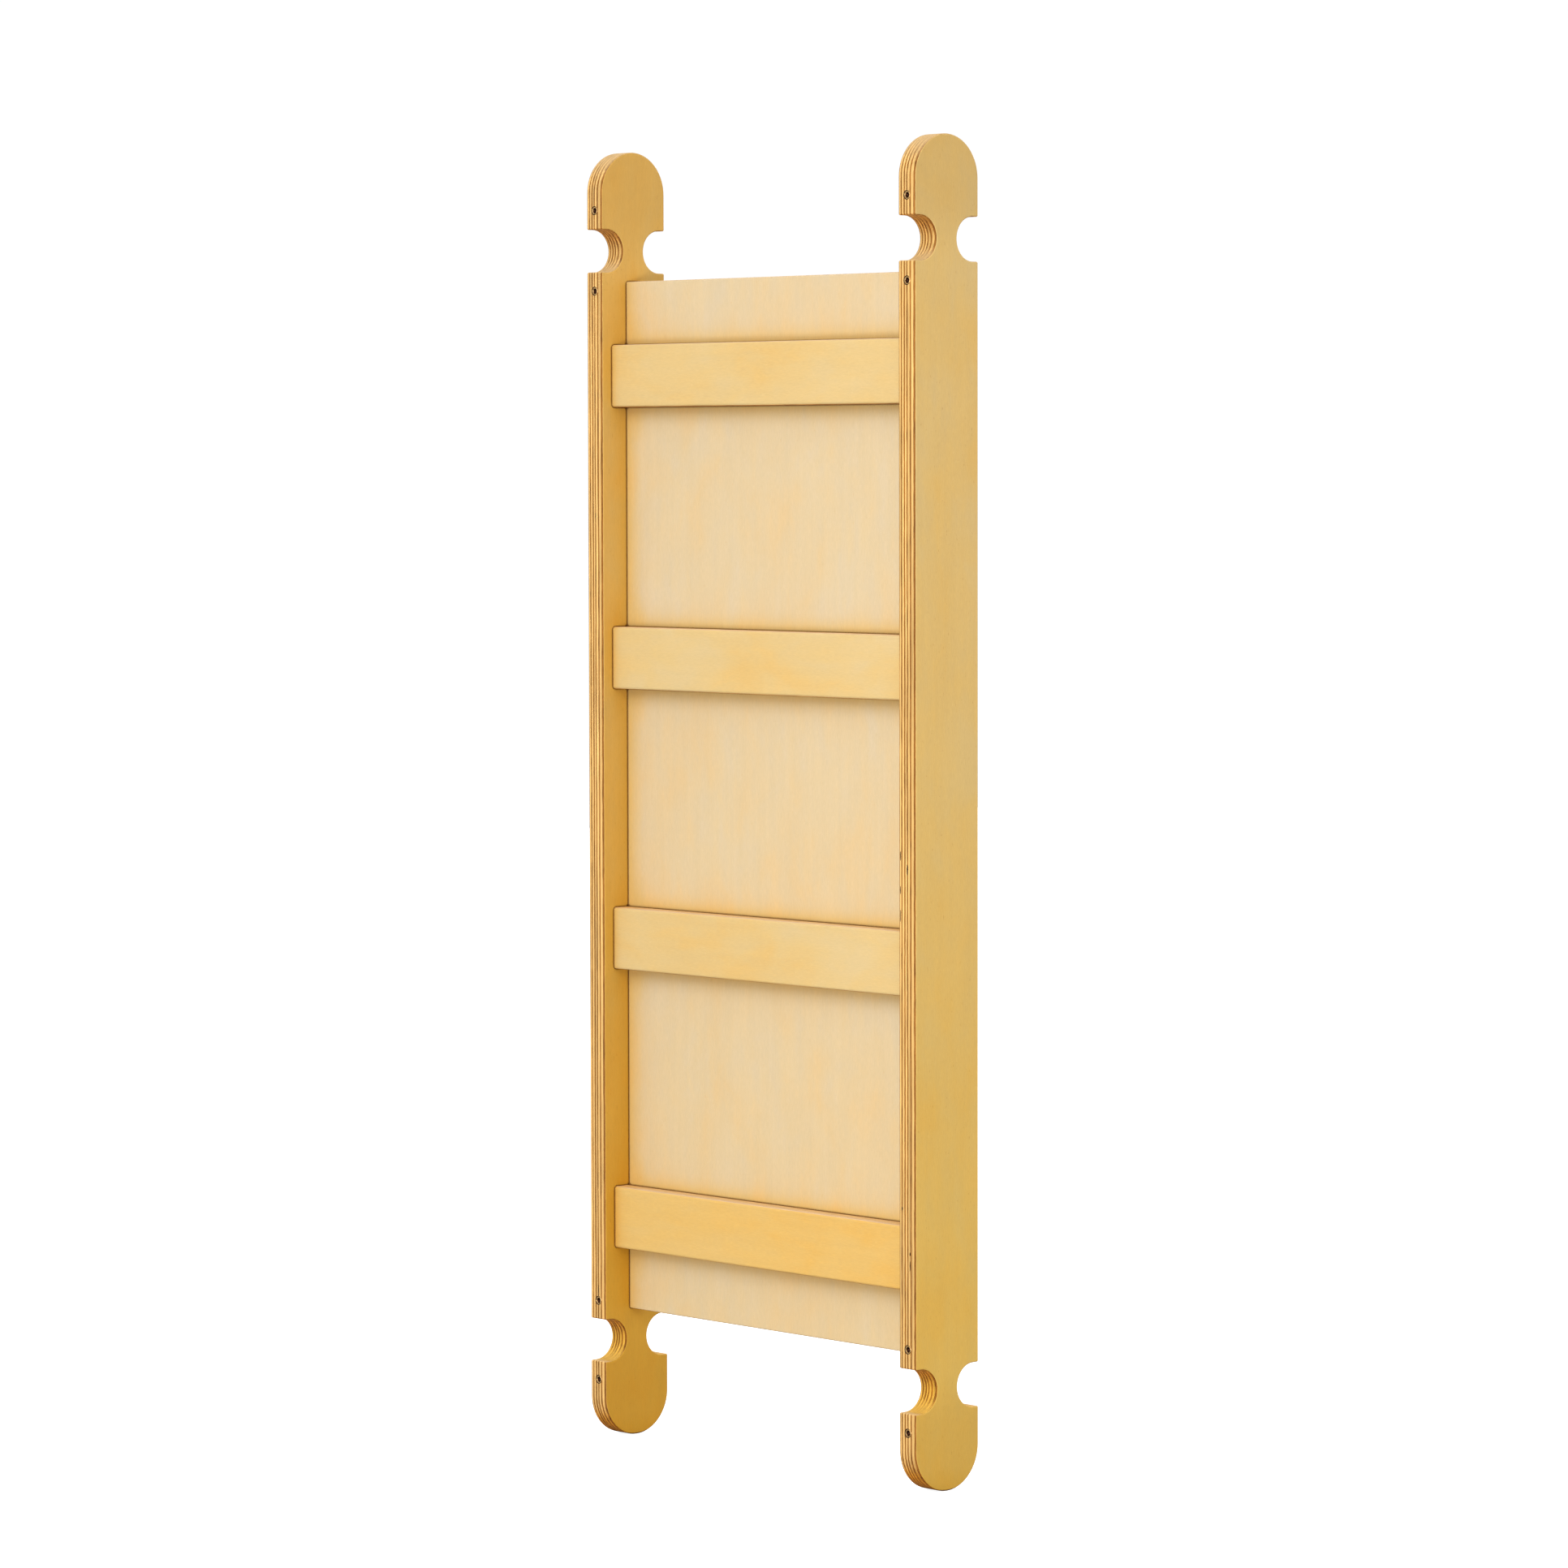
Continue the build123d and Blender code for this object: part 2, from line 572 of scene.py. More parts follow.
    def face_colour(self, graph: Graph, fibres: Socket) -> Socket:
        """Colour the face veneer: warm and pale patches, soft streaks, fine fibres, flecks and pores.

        Args:
            graph: the material's nodes.
            fibres: the fine fibre pattern.

        Returns:
            The colour's socket.
        """
        grain = self.sheet.grain
        broad = self.pattern(graph, grain, 19.0, 10.0, 1, 3.0, 0.6, 0.5)
        small = self.pattern(graph, grain, 62.0, 24.0, 2, 3.0, 0.6, 0.4)
        streaks = self.pattern(graph, grain, 210.0, 9.0, -1, 2.0, 0.6)
        flecks = self.pattern(graph, grain, 900.0, 260.0, 3, 2.0, 0.6)
        patches = graph.between(0.35, broad, small)
        colour = graph.blend(graph.smooth(patches, 0.48, 0.68), self.face, self.warm)
        colour = graph.blend(graph.smooth(graph.rest(patches), 0.48, 0.68), colour, self.cool)
        drift = graph.plus(graph.swing(streaks, 0.07), graph.swing(small, 0.10))
        shade = graph.plus(graph.plus(drift, graph.swing(fibres, 0.22)), 1.0)
        colour = graph.tint(colour, graph.grey(shade))
        bright = graph.times(graph.smooth(flecks, 0.66, 0.74), 0.35)
        colour = graph.blend(bright, colour, tuple(min(1.0, 1.14 * part) for part in self.cool))
        dark = graph.times(graph.smooth(graph.rest(flecks), 0.68, 0.75), 0.35)
        return graph.blend(dark, colour, self.edge_end)

    def edge_colour(self, graph: Graph, share: Socket) -> tuple[Socket, Socket]:
        """Colour a cut edge: plies that run along or across, with a thin dark glue line between them.

        Args:
            graph: the material's nodes.
            share: how far through the stack of plies the point is, 0 to 1.

        Returns:
            The colour's socket, and a height pattern that is low in the glue lines and gaps.
        """
        grain, cross = self.sheet.grain, self.sheet.cross
        wander = graph.noise(graph.place((9.0, 9.0, 9.0), 5 * self.seed), 1.0)
        jitter = graph.noise(graph.place((240.0, 240.0, 240.0), self.seed), 2.0)
        off_face = graph.minus(0.5, graph.apart(share, 0.5))
        sway = graph.swing(wander, graph.times(off_face, 0.12))
        share = graph.plus(graph.plus(share, sway), graph.swing(jitter, 0.012))
        crossed, glued, tone = self.ply_ramp(graph, share)
        endness = graph.between(crossed, graph.times(graph.facing(grain), 0.35), graph.facing(cross))
        along = self.pattern(graph, grain, FIBRES_ACROSS, 22.0, 7, 3.0, 0.65)
        across = self.pattern(graph, cross, FIBRES_ACROSS, 22.0, 9, 3.0, 0.65)
        fibre = graph.smooth(graph.between(crossed, along, across), 0.28, 0.72)
        drift = self.pattern(graph, grain, 260.0, 5.0, 8, 2.0, 0.6)
        colour = graph.blend(graph.smooth(endness, 0.2, 0.9), self.edge_side, self.edge_end)
        light = graph.plus(graph.times(tone, 0.26), graph.times(fibre, 0.44))
        light = graph.plus(light, graph.times(graph.smooth(drift, 0.3, 0.7), 0.36))
        colour = graph.tint(colour, graph.grey(graph.plus(light, 0.5)))
        dashes = self.pattern(graph, grain, 700.0, 60.0, 4, 2.0, 0.5)
        pores = graph.times(graph.smooth(dashes, 0.54, 0.68), graph.times(crossed, 0.5))
        strength = graph.plus(graph.times(graph.smooth(dashes, 0.35, 0.6), 0.65), 0.3)
        stain = graph.math("MAXIMUM", pores, graph.times(glued, strength))
        return graph.blend(stain, colour, self.glue), graph.minus(fibre, graph.times(stain, 0.8))

    def ply_ramp(self, graph: Graph, share: Socket) -> tuple[Socket, Socket, Socket]:
        """Read the stack of plies at a share of its thickness.

        Args:
            graph: the material's nodes.
            share: 0 at one face, 1 at the other.

        Returns:
            Whether the ply is a crossed one, whether the point is in a glue line, and the ply's own tone.
        """
        total = sum(self.sheet.plies)
        tones = random.Random(int(100 * self.seed))
        node = graph.add("ShaderNodeValToRGB")
        node.color_ramp.interpolation = "CONSTANT"
        stops = node.color_ramp.elements
        stops.remove(stops[-1])
        top = 0.0
        for count, thickness in enumerate(self.sheet.plies):
            crossed, tone = float(count % 2), tones.random()
            stop = stops[0] if count == 0 else stops.new(top / total)
            stop.color = (crossed, 0.0, tone, 1.0)
            top += thickness
            if count < len(self.sheet.plies) - 1:
                stops.new((top - self.glue_width) / total).color = (crossed, 1.0, tone, 1.0)
        graph.feed(node.inputs[0], share)
        parts = graph.add("ShaderNodeSeparateColor")
        graph.feed(parts.inputs[0], node.outputs["Color"])
        return parts.outputs[0], parts.outputs[1], parts.outputs[2]


@dataclass(frozen=True)
class GapWoodAndShadeFinish:
    """The torn wood inside a gap in a ply and inside every cut, near black: partly its own dark colour,
    partly painted shade.

    Attributes:
        name: the material's name.
        light: its palest fibres.
        dark: its darkest.
    """

    name: str = "ply_gap_wood"
    light: Colour = (0.10, 0.045, 0.014)
    dark: Colour = (0.03, 0.012, 0.004)

    def material(self) -> bpy.types.Material:
        """Return the material."""
        graph = Graph(self.name)
        torn = graph.noise(graph.place((900.0, 900.0, 260.0), 1.0), 4.0, 0.7)
        # partly painted shade: the lining is kept near black, darker than the torn wood itself
        graph.feed(graph.surface.inputs["Base Color"], graph.blend(torn, self.light, self.dark))
        graph.surface.inputs["Roughness"].default_value = 0.9
        graph.relief(torn, 0.3 * MM, 0.6)
        return graph.material


@dataclass(frozen=True)
class DowelFinish:
    """Plain unlacquered beech, its fibres along the dowel.

    Attributes:
        name: the material's name.
        light: its palest fibres.
        dark: its darkest, and its rays.
    """

    name: str = "beech_dowel"
    light: Colour = (0.62, 0.40, 0.22)
    dark: Colour = (0.42, 0.23, 0.11)

    def material(self) -> bpy.types.Material:
        """Return the material."""
        graph = Graph(self.name)
        fibres = graph.noise(graph.place((60.0, 1800.0, 1800.0), 2.0), 4.0, 0.65)
        rays = graph.noise(graph.place((420.0, 1500.0, 1500.0), 6.0), 1.0)
        colour = graph.blend(fibres, self.light, self.dark)
        colour = graph.blend(graph.times(graph.smooth(rays, 0.62, 0.7), 0.6), colour, self.dark)
        graph.feed(graph.surface.inputs["Base Color"], colour)
        graph.surface.inputs["Roughness"].default_value = 0.8
        graph.relief(fibres, 0.1 * MM, 0.5)
        return graph.material


@dataclass(frozen=True)
class ZincFinish:
    """Dull zinc plate on a turned steel insert, with turning marks, and a near-black painted shade down its
    bore.

    Attributes:
        name: the material's name.
        bright: clean plate.
        dull: worn plate.
        bore_shade: the painted shade in the bore.
    """

    name: str = "insert_zinc_plate"
    bright: Colour = (0.68, 0.43, 0.18)
    dull: Colour = (0.40, 0.23, 0.08)
    bore_shade: Colour = (0.024, 0.009, 0.005)

    def material(self, mouth: float) -> bpy.types.Material:
        """Make the finish.

        Args:
            mouth: where the inserts' mouths are, along Y.

        Returns:
            The material.
        """
        graph = Graph(self.name)
        marks = graph.noise(graph.place((300.0, 5200.0, 300.0), 3.0), 3.0, 0.6)
        stain = graph.noise(graph.place((700.0, 700.0, 700.0), 8.0), 3.0, 0.6)
        plate = graph.blend(graph.smooth(stain, 0.4, 0.7), self.bright, self.dull)
        # painted shade: the insert turns near black from just inside its mouth
        in_bore = graph.smooth(graph.spot(Axis.Y), mouth + 0.03 * MM, mouth + 0.4 * MM)
        graph.feed(graph.surface.inputs["Base Color"], graph.blend(in_bore, plate, self.bore_shade))
        rough = graph.plus(graph.times(marks, 0.25), 0.22)
        graph.feed(graph.surface.inputs["Roughness"], rough)
        graph.surface.inputs["Metallic"].default_value = 1.0
        graph.relief(marks, 0.03 * MM, 0.4)
        return graph.material


@dataclass(frozen=True)
class FloorFinish:
    """A plain pale studio floor with a trace of mottle, lit from under so that it looks white.

    Attributes:
        name: the material's name.
        light: its palest tone.
        dark: its darkest.
        glow: how brightly it is lit from under, which only the camera sees.
    """

    name: str = "studio_floor"
    light: Colour = (0.44, 0.44, 0.44)
    dark: Colour = (0.41, 0.41, 0.41)
    glow: float = 0.9

    def material(self) -> bpy.types.Material:
        """Return the material."""
        graph = Graph(self.name)
        mottle = graph.noise(graph.place((1.3, 1.3, 1.3), 0.0), 3.0)
        graph.feed(graph.surface.inputs["Base Color"], graph.blend(mottle, self.light, self.dark))
        seen = graph.add("ShaderNodeLightPath").outputs["Is Camera Ray"]
        graph.surface.inputs["Emission Color"].default_value = (1.0, 1.0, 1.0, 1.0)
        graph.feed(graph.surface.inputs["Emission Strength"], graph.times(seen, self.glow))
        graph.surface.inputs["Roughness"].default_value = 0.85
        graph.surface.inputs["Specular IOR Level"].default_value = 0.1
        return graph.material


RIGHT_RAIL_TONES = dict(
    sheet=RAIL_SHEET,
    face=(0.525, 0.348, 0.121),
    warm=(0.53, 0.334, 0.100),
    cool=(0.515, 0.358, 0.144),
    foot=(0.965, 0.90, 0.52),
    edge_side=(0.57, 0.345, 0.117),
    edge_end=(0.26, 0.102, 0.015),
    glue=(0.08, 0.025, 0.004),
    corner_shade_tint=(0.97, 0.90, 0.60),
    underside_shade=(0.84, 0.61, 0.32),
    topside_light=(0.58, 0.39, 0.18),
    glue_width=0.34,
)
LEFT_RAIL_TONES = RIGHT_RAIL_TONES | dict(
    face=(0.515, 0.302, 0.073),
    warm=(0.51, 0.284, 0.060),
    cool=(0.505, 0.312, 0.087),
    foot=(0.91, 0.81, 0.32),
)
SLAT_TONES = dict(
    sheet=SLAT_SHEET,
    face=(0.54, 0.378, 0.158),
    warm=(0.55, 0.358, 0.126),
    cool=(0.535, 0.393, 0.188),
    foot=(1.0, 1.0, 1.0),
    edge_side=(0.66, 0.45, 0.23),
    edge_end=(0.50, 0.29, 0.12),
    glue=(0.20, 0.075, 0.014),
    corner_shade_tint=(0.98, 0.85, 0.52),
    underside_shade=(0.92, 0.72, 0.42),
    topside_light=(0.70, 0.52, 0.34),
    glue_width=0.3,
    skin_depth=0.9 * MM,
)
BOTTOM_SLAT_TONES = SLAT_TONES | dict(
    face=(0.565, 0.353, 0.104),
    warm=(0.57, 0.333, 0.081),
    cool=(0.565, 0.368, 0.123),
)
PANEL_TONES = dict(
    sheet=PANEL_SHEET,
    face=(0.53, 0.405, 0.236),
    warm=(0.545, 0.39, 0.204),
    cool=(0.52, 0.415, 0.266),
    foot=(1.02, 0.99, 0.92),
    edge_side=(0.62, 0.42, 0.21),
    edge_end=(0.48, 0.27, 0.10),
    glue=(0.16, 0.07, 0.018),
    corner_shade_tint=(1.0, 0.87, 0.50),
    underside_shade=(0.92, 0.72, 0.42),
    topside_light=(0.66, 0.52, 0.36),
    glue_width=0.3,
)


# ---------------------------------------------------------------------------------------- mesh helpers
def arc(centre: Point, radius: float, start: float, end: float, step: float) -> list[tuple[Point, Point]]:
    """Walk along an arc.

    Args:
        centre: the arc's centre.
        radius: its radius.
        start: the angle it starts at, in degrees.
        end: the angle it ends at; less than the start for a clockwise arc, which is a hollow one.
        step: the largest angle between two points.

    Returns:
        Each point with the direction that points out of the wood there.
    """
    count = max(2, math.ceil(abs(end - start) / step))
    outward = 1.0 if end > start else -1.0
    walk = []
    for place in range(count + 1):
        angle = math.radians(start + (end - start) * place / count)
        ray = (math.cos(angle), math.sin(angle))
        point = (centre[0] + radius * ray[0], centre[1] + radius * ray[1])
        walk.append((point, (outward * ray[0], outward * ray[1])))
    return walk


def skin(rings: Sequence[Sequence[Sequence[float]]], name: str, caps: bool = True) -> bpy.types.Object:
    """Join rings of points into a closed skin.

    Args:
        rings: closed rings with the same number of points each, one after another.
        name: the new object's name.
        caps: whether the first and last rings are filled; otherwise they are joined to each other.

    Returns:
        The object, in the scene.
    """
    mesh = bmesh.new()
    made = [[mesh.verts.new(point) for point in ring] for ring in rings]
    pairs = list(zip(made, made[1:]))
    if not caps:
        pairs.append((made[-1], made[0]))
    for low, high in pairs:
        for here in range(len(low)):
            there = (here + 1) % len(low)
            mesh.faces.new((low[here], low[there], high[there], high[here]))
    if caps:
        mesh.faces.new(made[0])
        mesh.faces.new(made[-1])
    return finished(mesh, name)


def finished(mesh: bmesh.types.BMesh, name: str) -> bpy.types.Object:
    """Turn an edited mesh into an object with its faces looking outwards.

    Args:
        mesh: the edited mesh, which is freed.
        name: the new object's name.

    Returns:
        The object, in the scene.
    """
    bmesh.ops.recalc_face_normals(mesh, faces=mesh.faces)
    data = bpy.data.meshes.new(name)
    mesh.to_mesh(data)
    mesh.free()
    made = bpy.data.objects.new(name, data)
    bpy.context.scene.collection.objects.link(made)
    return made


def rod(centre: Vector, axis: Axis, radius: float, length: float, name: str) -> bpy.types.Object:
    """Make a round rod, for drilling a hole.

    Args:
        centre: the rod's middle.
        axis: the axis that it lies along.
        radius: its radius.
        length: its length.
        name: the new object's name.

    Returns:
        The rod.
    """
    one, other = (way for way in range(3) if way != axis.value)
    rings = []
    for end in (-0.5, 0.5):
        ring = []
        for place in range(DRILL_SIDES):
            angle = math.tau * place / DRILL_SIDES
            point = Vector(centre)
            point[axis.value] += end * length
            point[one] += radius * math.cos(angle)
            point[other] += radius * math.sin(angle)
            ring.append(point)
        rings.append(ring)
    return skin(rings, name)


def cut(body: bpy.types.Object, tools: Sequence[bpy.types.Object], shaded_lining: bpy.types.Material) -> None:
    """Cut tools out of a body and throw the tools away.

    Args:
        body: what is cut; its mesh is replaced.
        tools: closed shapes that don't touch each other.
        shaded_lining: the finish inside the cuts.
    """
    joined = bmesh.new()
    for tool in tools:
        joined.from_mesh(tool.data)
        bpy.data.objects.remove(tool)
    cutter = finished(joined, body.name + "_cutter")
    cutter.data.materials.append(shaded_lining)
    body.data.materials.append(shaded_lining)
    modifier = body.modifiers.new("cut", "BOOLEAN")
    modifier.operation = "DIFFERENCE"
    modifier.solver = "EXACT"
    modifier.material_mode = "TRANSFER"
    modifier.object = cutter
    bpy.context.view_layer.update()
    whole = body.evaluated_get(bpy.context.evaluated_depsgraph_get())
    data = bpy.data.meshes.new_from_object(whole)
    body.modifiers.clear()
    body.data = data
    bpy.data.objects.remove(cutter)


def dress(piece: bpy.types.Object, node: str, crease: float = 35.0) -> bpy.types.Object:
    """Smooth a piece between its creases and put it in its node's place.

    Args:
        piece: the piece, with its finish on it.
        node: the frame's node that it stands for.
        crease: the angle from which an edge stays sharp, in degrees.

    Returns:
        The piece.
    """
    for face in piece.data.polygons:
        face.use_smooth = True
    piece.data.set_sharp_from_angle(angle=math.radians(crease))
    weighted = piece.modifiers.new("even_shading", "WEIGHTED_NORMAL")
    weighted.keep_sharp = True
    weighted.weight = 100
    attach(piece, BODY)
    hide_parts(node)
    log.info("%s: %d faces, in place of %s", piece.name, len(piece.data.polygons), node)
    return piece


# ---------------------------------------------------------------------------------------- side rails
@dataclass(frozen=True)
class PlyGap:
    """A short gap in one of a rail's plies, where two strips of veneer didn't quite meet.

    Attributes:
        height: how high up the board its middle is.
        ply: how far it is from the rail's outer face, in millimetres.
        length: in millimetres.
        width: in millimetres.
        depth: how far it goes into the edge, in millimetres.
        steps: how many steps it is drawn in along its length.
        sides: how many sides it is drawn with round it.
    """

    height: float
    ply: float
    length: float
    width: float
    depth: float = 1.4
    steps: int = 14
    sides: int = 10

    def tool(self, rail: "SideRail", name: str) -> bpy.types.Object:
        """Make the spindle that cuts the gap into the rail's front edge.

        Args:
            rail: the rail that it is in.
            name: the tool's name.

        Returns:
            The tool.
        """
        chance = random.Random(name)
        rings = []
        middle = rail.outer_face() - rail.outward() * self.ply * MM
        for place in range(1, self.steps):
            share = place / self.steps
            swell = math.sin(math.pi * share) ** 0.6 * chance.uniform(0.75, 1.0)
            sway = chance.uniform(-0.12, 0.12) * self.width
            ring = []
            for side in range(self.sides):
                angle = math.tau * side / self.sides
                ring.append(
                    (
                        middle + (sway + 0.5 * self.width * swell * math.cos(angle)) * MM,
                        rail.low.y + self.depth * swell * math.sin(angle) * MM,
                        self.height + (share - 0.5) * self.length * MM,
                    )
                )
            rings.append(ring)
        return skin(rings, name)


@dataclass
class SideRail:
    """A notched side rail of plywood: round ends, two rung seats in each edge, and its drilled holes.

    Attributes:
        side: "left" or "right".
        finish: the plywood's finish.
        gaps: the gaps in its plies that show in its front edge.
        seat_radius: the seats' radius.
        seat_lead_in: the straight part of a seat, from the rail's edge to the rung's axis.
        lip_round: the rounding of the seats' lips.
        edge_round: the rounding along the edges of the two faces.
        glue_space: how much deeper a dowel's hole is than the dowel.
        insert_space: how much deeper an insert's hole is than the insert.
        edge_runs: how many runs the straight part of its long edge is drawn in.
        round_steps: how many steps the rounding of its two faces' edges is drawn in.
    """

    side: str
    finish: PlywoodFinish
    gaps: Sequence[PlyGap]
    seat_radius: float = 16.4 * MM
    seat_lead_in: float = 5.1 * MM
    lip_round: float = 1.2 * MM
    edge_round: float = 1.2 * MM
    glue_space: float = 1.0 * MM
    insert_space: float = 1.5 * MM
    edge_runs: int = 16
    round_steps: int = 5

    def __post_init__(self) -> None:
        """Take the rail's place from the frame."""
        self.node = f"{self.side}_side_rail"
        self.low, self.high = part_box(self.node)
        self.middle = (self.low + self.high) / 2

    def outward(self) -> float:
        """Return 1 for the rail on the +X side and -1 for the other."""
        return math.copysign(1.0, self.middle.x)

    def outer_face(self) -> float:
        """Return the outer face's place along X."""
        return self.high.x if self.outward() > 0 else self.low.x

    def inner_face(self) -> float:
        """Return the inner face's place along X."""
        return self.low.x if self.outward() > 0 else self.high.x

    def half_outline(self) -> list[tuple[Point, Point]]:
        """Draw the rail's rear half, from its foot to its head.

        Returns:
            Each point, rearwards and up from the rail's middle, with the direction out of the wood.
        """
        deep = (self.high.y - self.low.y) / 2
        tall = (self.high.z - self.low.z) / 2
        axis = -self.middle.z  # the frame's origin is on a rung's axis
        lip, seat = self.lip_round, self.seat_radius
        walk = arc((0.0, deep - tall), deep, -90, 0, 5.0)
        reach = axis - seat - lip
        for height in (-axis, axis):
            if height > 0:
                for place in range(1, self.edge_runs):
                    walk.append(((deep, reach * (2 * place / self.edge_runs - 1)), (1.0, 0.0)))
            walk += arc((deep - lip, height - seat - lip), lip, 0, 90, 18.0)
            walk += arc((deep - self.seat_lead_in, height), seat, -90, -270, 6.0)
            walk += arc((deep - lip, height + seat + lip), lip, -90, 0, 18.0)
        return walk + arc((0.0, tall - deep), deep, 0, 90, 5.0)

    def outline(self) -> list[tuple[Point, Point]]:
        """Return the whole outline, anticlockwise, with its outward directions."""
        rear = self.half_outline()
        front = [((-point[0], point[1]), (-out[0], out[1])) for point, out in reversed(rear[1:-1])]
        return rear + front

    def blank(self) -> bpy.types.Object:
        """Make the undrilled rail: the outline through the thickness, with both edges of it rounded.

        Returns:
            The rail.
        """
        walk = self.outline()
        section = []
        for step in range(self.round_steps + 1):
            angle = math.pi / 2 * step / self.round_steps
            section.append((self.edge_round * (1 - math.sin(angle)), self.edge_round * (1 - math.cos(angle))))
        levels = [(inset, self.low.x + rise) for inset, rise in section]
        levels += [(inset, self.high.x - rise) for inset, rise in reversed(section)]
        rings = []
        for inset, across in levels:
            ring = []
            for point, out in walk:
                back, up = point[0] - inset * out[0], point[1] - inset * out[1]
                ring.append((across, self.middle.y + back, self.middle.z + up))
            rings.append(ring)
        return skin(rings, f"{self.side}_rail")

    def dowel_tools(self) -> list[bpy.types.Object]:
        """Make the drills for the dowel holes in the inner face, where the frame's dowels are."""
        tools = []
        mouth = self.inner_face() - self.outward() * DRILL_START
        for group in dowel_groups(self.side):
            tools += group.drills(mouth, group.tip(self.outward()) + self.outward() * self.glue_space)
        return tools

    def insert_tools(self) -> list[bpy.types.Object]:
        """Make the drills for the insert holes in the front edge, where the frame's inserts are."""
        tools = []
        for insert in strap_inserts(self.side):
            low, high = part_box(insert)
            start, end = self.low.y - DRILL_START, high.y + self.insert_space
            place = Vector(((low.x + high.x) / 2, (start + end) / 2, (low.z + high.z) / 2))
            tools.append(rod(place, Axis.Y, (high.x - low.x) / 2, end - start, "insert_drill"))
        return tools

    def build(self, shaded_lining: bpy.types.Material) -> bpy.types.Object:
        """Build the rail.

        Args:
            shaded_lining: the finish inside its holes and gaps.

        Returns:
            The rail.
        """
        rail = self.blank()
        rail.data.materials.append(self.finish.material(self.low, self.high))
        gaps = [gap.tool(self, f"{self.side}_gap_{count}") for count, gap in enumerate(self.gaps)]
        cut(rail, self.dowel_tools() + self.insert_tools() + gaps, shaded_lining)
        return dress(rail, self.node)


# ---------------------------------------------------------------------------------------- panel and slats
@dataclass
class Board:
    """A board between the rails with rounded long edges and dowel holes in its square ends: panel or slat.

    Attributes:
        name: the piece's name.
        node: the frame's node that it stands for.
        slot: the record's material slot; not used.
        finish: its finish.
        dowels: the names of the frame's dowel nodes that go into it.
        edge_round: the rounding of its long edges.
        glue_space: how much deeper a dowel's hole is than the dowel.
        round_steps: how many steps the rounding is drawn in.
    """

    name: str
    node: str
    slot: str
    finish: PlywoodFinish
    dowels: Sequence[str]
    edge_round: float
    glue_space: float = 1.0 * MM
    round_steps: int = 8

    def blank(self) -> bpy.types.Object:
        """Make the undrilled board: square at its ends, where it butts against the rails.

        Returns:
            The board.
        """
        low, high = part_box(self.node)
        mesh = bmesh.new()
        size = Matrix.Diagonal((*(high - low), 1.0))
        bmesh.ops.create_cube(mesh, size=1.0, matrix=Matrix.Translation((low + high) / 2) @ size)
        long_edges = [edge for edge in mesh.edges if abs(edge.verts[0].co.x - edge.verts[1].co.x) > MM]
        bmesh.ops.bevel(
            mesh,
            geom=long_edges,
            offset=self.edge_round,
            segments=self.round_steps,
            profile=0.5,
            affect="EDGES",
        )
        return finished(mesh, self.name)

    def build(self, shaded_lining: bpy.types.Material) -> bpy.types.Object:
        """Build the board.

        Args:
            shaded_lining: the finish inside its dowel holes.

        Returns:
            The board.
        """
        low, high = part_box(self.node)
        board = self.blank()
        board.data.materials.append(self.finish.material(low, high))
        tools = []
        for name in self.dowels:
            group = DowelGroup(name)
            outward = group.outward()
            mouth = (high.x if outward > 0 else low.x) + outward * DRILL_START
            tools += group.drills(mouth, group.tip(-outward) - outward * self.glue_space)
        cut(board, tools, shaded_lining)
        return dress(board, self.node)


